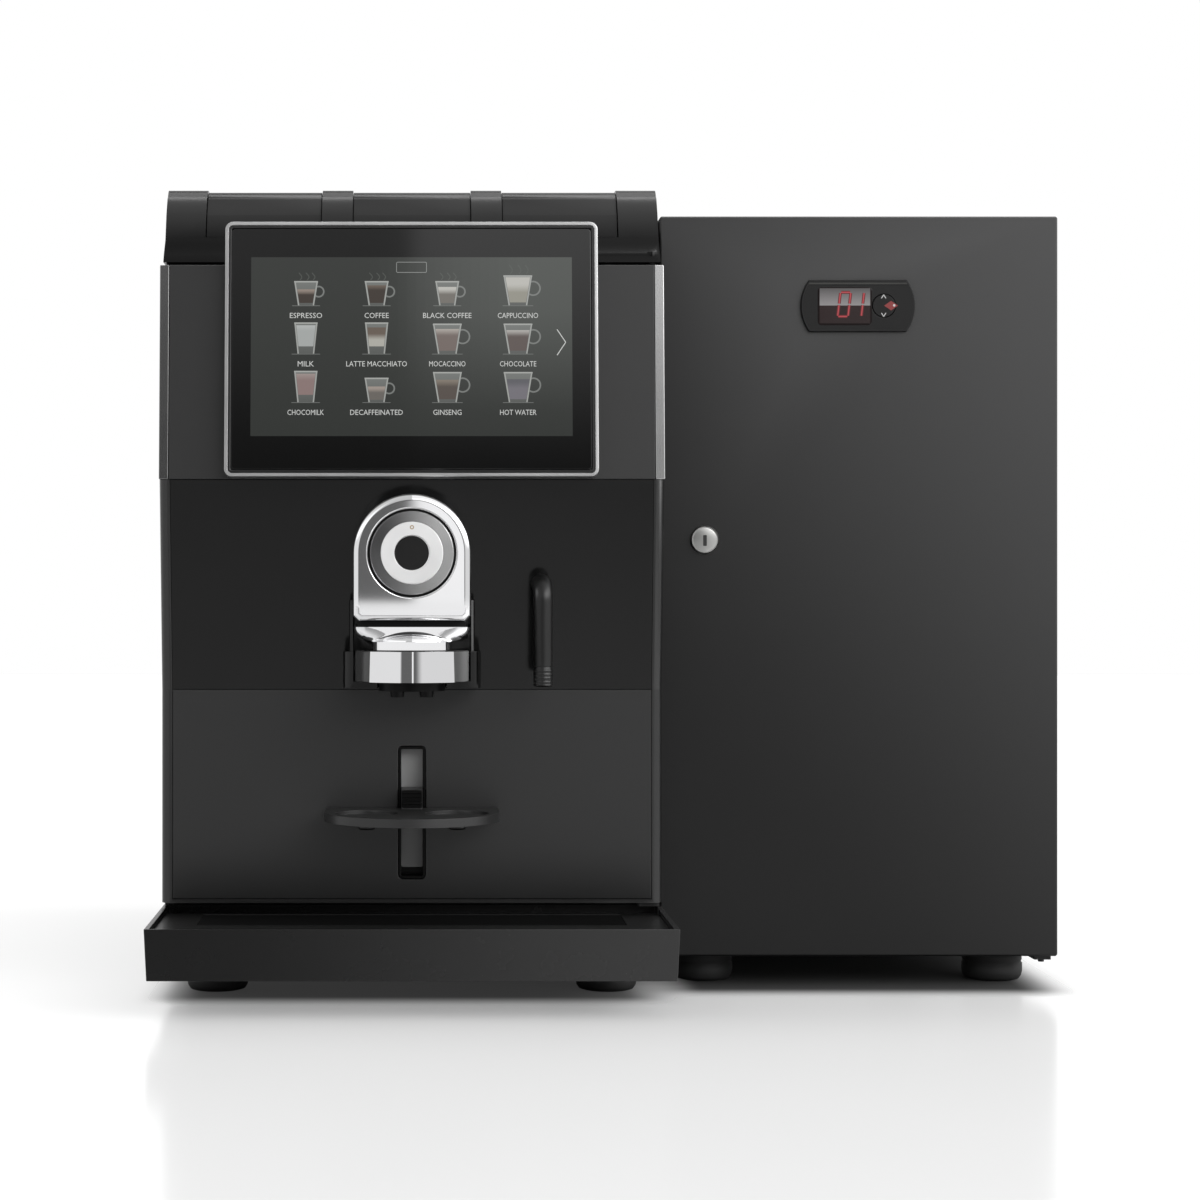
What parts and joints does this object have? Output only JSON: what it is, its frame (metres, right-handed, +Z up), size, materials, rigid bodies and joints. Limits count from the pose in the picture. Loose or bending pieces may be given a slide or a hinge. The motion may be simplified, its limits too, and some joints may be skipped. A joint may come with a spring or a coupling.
{
  "type": "hot coffee vending machine",
  "caption": "Table-top bean-to-cup coffee machine with touch screen, chrome spout, cup shelf and drip tray, and a milk refrigerator standing at its side.",
  "frame": {"origin": "on the floor, at the bottom centre of the bounding box of the machine and its refrigerator", "axes": "+X to the user's right, +Y to the back, +Z up; the user stands at -Y"},
  "size_m": [0.641, 0.58, 0.574],
  "materials": {
    "painted_steel": "satin black powder coat",
    "zinc": "zinc-plated sheet",
    "hood_plastic": "satin dark grey moulding",
    "door_edge": "semi-gloss black moulding",
    "satin_panel": "satin black",
    "gloss_panel": "piano black",
    "tray_plastic": "satin black, fine grain",
    "silver_trim": "satin silver",
    "screen_glass": "black cover glass over the display",
    "chrome": "polished chrome plating",
    "dial_plastic": "silver paint over plastic",
    "matt_plastic": "matt black",
    "grey_plastic": "grey moulding",
    "white_plastic": "white food-grade plastic",
    "smoked_plastic": "smoked clear plastic",
    "stainless": "stainless steel",
    "brass": "brass pump head",
    "lock_metal": "nickel plated lock",
    "fridge_paint": "satin dark grey coat on the foam-filled sandwich walls of the refrigerator",
    "compressor_paint": "black enamel",
    "rubber": "black rubber",
    "silicone": "translucent silicone hose"
  },
  "bodies": {
    "chassis": {"base_frame": "painted_steel", "side_panel_left": "painted_steel", "side_panel_right": "painted_steel", "rear_panel": "painted_steel", "inner_frame": "zinc", "top_hood": "hood_plastic", "machine_foot_front_left": "rubber", "machine_foot_front_right": "rubber", "machine_foot_rear_left": "rubber", "machine_foot_rear_right": "rubber", "bean_hopper": "smoked_plastic", "powder_canister_left": "white_plastic", "powder_canister_right": "white_plastic", "grinder_body": "grey_plastic", "mixing_bowl": "white_plastic", "brew_unit_frame": "grey_plastic", "grounds_bin": "matt_plastic", "boiler": "stainless", "water_pump": "brass", "fridge_cabinet": "fridge_paint", "fridge_foot_front_left": "rubber", "fridge_foot_front_right": "rubber", "fridge_foot_rear_left": "rubber", "fridge_foot_rear_right": "rubber", "cooling_compressor": "compressor_paint", "milk_container": "white_plastic", "milk_hose": "silicone"},
    "front_door": {"door_shell": "door_edge", "door_upper_panel": "satin_panel", "door_middle_panel": "gloss_panel", "door_lower_panel": "satin_panel", "side_trim_left": "silver_trim", "side_trim_right": "silver_trim", "display_frame": "silver_trim", "display_glass": "screen_glass", "spout_shroud": "gloss_panel", "spout_arch": "chrome", "spout_collar": "chrome", "outlet_nozzles": "matt_plastic", "dial_ring": "dial_plastic", "shelf_rail": "grey_plastic"},
    "dial": {"dial_button": "gloss_panel"},
    "wand": {"hot_water_wand": "matt_plastic"},
    "shelf": {"cup_shelf": "satin_panel"},
    "lid_left": {"hopper_lid_left": "hood_plastic"},
    "lid_centre": {"hopper_lid_centre": "hood_plastic"},
    "lid_right": {"hopper_lid_right": "hood_plastic"},
    "tray": {"drip_tray": "tray_plastic"},
    "grate": {"cup_grate": "matt_plastic"},
    "door_lock": {"side_lock": "lock_metal"},
    "fridge_front": {"fridge_door": "fridge_paint", "fridge_seal": "rubber", "thermostat": "matt_plastic"},
    "fridge_latch": {"fridge_lock": "lock_metal"},
    "keypad": {"thermostat_keypad": "rubber"},
    "burr": {"grinder_burr": "stainless"},
    "auger_left": {"powder_auger_left": "white_plastic"},
    "auger_right": {"powder_auger_right": "white_plastic"},
    "whipper": {"whipper_wheel": "white_plastic"},
    "piston": {"brew_piston": "stainless"}
  },
  "joints": [
    {"name": "front_door_hinge", "type": "hinge", "parent": "chassis", "child": "front_door", "pos_m": [0.02895, -0.166, 0.29], "axis": [0, 0, 1], "range_deg": [0, 90]},
    {"name": "lid_left_hinge", "type": "hinge", "parent": "chassis", "child": "lid_left", "pos_m": [-0.24705, 0.115, 0.57], "axis": [1, 0, 0], "range_deg": [-80, 0]},
    {"name": "lid_centre_hinge", "type": "hinge", "parent": "chassis", "child": "lid_centre", "pos_m": [-0.14105, 0.115, 0.57], "axis": [1, 0, 0], "range_deg": [-80, 0]},
    {"name": "lid_right_hinge", "type": "hinge", "parent": "chassis", "child": "lid_right", "pos_m": [-0.03505, 0.115, 0.57], "axis": [1, 0, 0], "range_deg": [-80, 0]},
    {"name": "drip_tray_slide", "type": "slide", "parent": "chassis", "child": "tray", "axis": [0, -1, 0], "range_m": [0, 0.12]},
    {"name": "cup_grate_lift", "type": "slide", "parent": "tray", "child": "grate", "axis": [0, 0, 1], "range_m": [0, 0.022]},
    {"name": "cup_shelf_slide", "type": "slide", "parent": "front_door", "child": "shelf", "axis": [0, 0, 1], "range_m": [-0.038, 0.026]},
    {"name": "dial_push", "type": "slide", "parent": "front_door", "child": "dial", "axis": [0, 1, 0], "range_m": [0, 0.0015], "stiffness_N_per_m": 1000},
    {"name": "wand_swivel", "type": "hinge", "parent": "front_door", "child": "wand", "pos_m": [-0.05105, -0.2, 0.2885], "axis": [0, 1, 0], "range_deg": [-25, 25]},
    {"name": "side_lock_turn", "type": "hinge", "parent": "chassis", "child": "door_lock", "pos_m": [-0.31755, -0.135, 0.287], "axis": [1, 0, 0], "range_deg": [0, 90]},
    {"name": "fridge_door_hinge", "type": "hinge", "parent": "chassis", "child": "fridge_front", "pos_m": [0.31095, -0.145, 0.29], "axis": [0, 0, 1], "range_deg": [0, 110]},
    {"name": "fridge_lock_turn", "type": "hinge", "parent": "fridge_front", "child": "fridge_latch", "pos_m": [0.06795, -0.155, 0.32], "axis": [0, 1, 0], "range_deg": [0, 90]},
    {"name": "thermostat_key_press", "type": "slide", "parent": "fridge_front", "child": "keypad", "axis": [0, 1, 0], "range_m": [0, 0.0006], "stiffness_N_per_m": 2000},
    {"name": "grinder_burr_spin", "type": "hinge", "parent": "chassis", "child": "burr", "pos_m": [-0.14105, -0.075, 0.3447], "axis": [0, 0, 1], "continuous": true},
    {"name": "auger_left_spin", "type": "hinge", "parent": "chassis", "child": "auger_left", "pos_m": [-0.24705, -0.015, 0.418], "axis": [0, 1, 0], "continuous": true},
    {"name": "auger_right_spin", "type": "hinge", "parent": "chassis", "child": "auger_right", "pos_m": [-0.03505, -0.015, 0.418], "axis": [0, 1, 0], "continuous": true},
    {"name": "whipper_spin", "type": "hinge", "parent": "chassis", "child": "whipper", "pos_m": [-0.03505, -0.133, 0.34], "axis": [0, 0, 1], "continuous": true},
    {"name": "brew_piston_slide", "type": "slide", "parent": "chassis", "child": "piston", "axis": [0, 0, 1], "range_m": [0, 0.06]}
  ]
}
